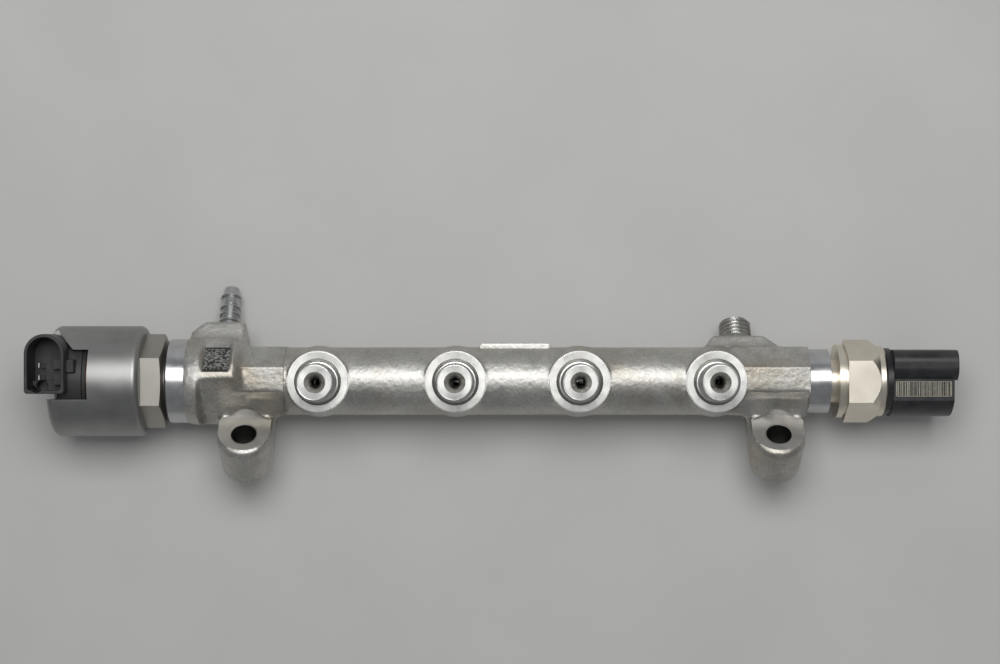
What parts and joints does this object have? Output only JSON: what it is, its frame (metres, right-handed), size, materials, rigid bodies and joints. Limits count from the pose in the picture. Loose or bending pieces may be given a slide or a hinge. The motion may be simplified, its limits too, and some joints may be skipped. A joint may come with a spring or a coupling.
{
  "type": "diesel common-rail fuel rail",
  "caption": "Forged high-pressure fuel rail with injector outlets, bolt lugs, barbed leak-off, control valve and pressure sensor.",
  "frame": {"origin": "middle of the left bolt hole at the seat that rests on the engine", "axes": "+X along the main bore from the left bolt to the sensor, +Z out of the injector outlets, +Y towards inlet and leak-off"},
  "size_m": [0.3374, 0.0727, 0.0459],
  "materials": {
    "forged_steel": "grainy forged and shot-blasted steel, oiled, machined bright at the collars",
    "nipple_steel": "turned steel, plated bright",
    "valve_steel": "cold drawn hexagon, beige plated",
    "hard_steel": "ground and lapped",
    "soft_iron": "turned",
    "guide_bronze": "turned",
    "spring_steel": "drawn wire",
    "coil_plastic": "glass filled, matt",
    "copper_wire": null,
    "seal_rubber": "matt",
    "zinc_can": "deep drawn, zinc plated, matt silver grey",
    "black_plastic": "glass filled, fine texture",
    "sensor_plastic": "glass filled, semi matt",
    "tinned_blade": "tin plated",
    "nickel_steel": "nickel plated, warm and bright",
    "board_green": "solder resist",
    "gold_contact": "gold flashed"
  },
  "bodies": {
    "rail_assembly": {"rail_body": "forged_steel", "leak_nipple": "nipple_steel", "valve_body": "valve_steel", "valve_seat": "hard_steel", "needle_guide": "guide_bronze", "gap_shim": "guide_bronze", "valve_spring": "spring_steel", "coil_bobbin": "coil_plastic", "coil_winding": "copper_wire", "coil_seal": "seal_rubber", "nose_ring": "seal_rubber", "solenoid_can": "zinc_can", "end_plate": "zinc_can", "valve_connector": "black_plastic", "valve_terminals": "tinned_blade", "sensor_port": "nickel_steel", "diaphragm": "nickel_steel", "sensor_board": "board_green", "sensor_contacts": "gold_contact", "sensor_blades": "tinned_blade", "sensor_seal": "seal_rubber", "sensor_plug": "sensor_plastic"},
    "valve_plunger": {"valve_ball": "hard_steel", "valve_needle": "hard_steel", "armature": "soft_iron"}
  },
  "joints": [
    {"name": "valve_stroke", "type": "slide", "parent": "rail_assembly", "child": "valve_plunger", "axis": [-1, 0, 0], "range_m": [0, 0.0004], "stiffness_N_per_m": 8000, "springref_m": -0.0012, "deforming": ["valve_spring"]}
  ]
}
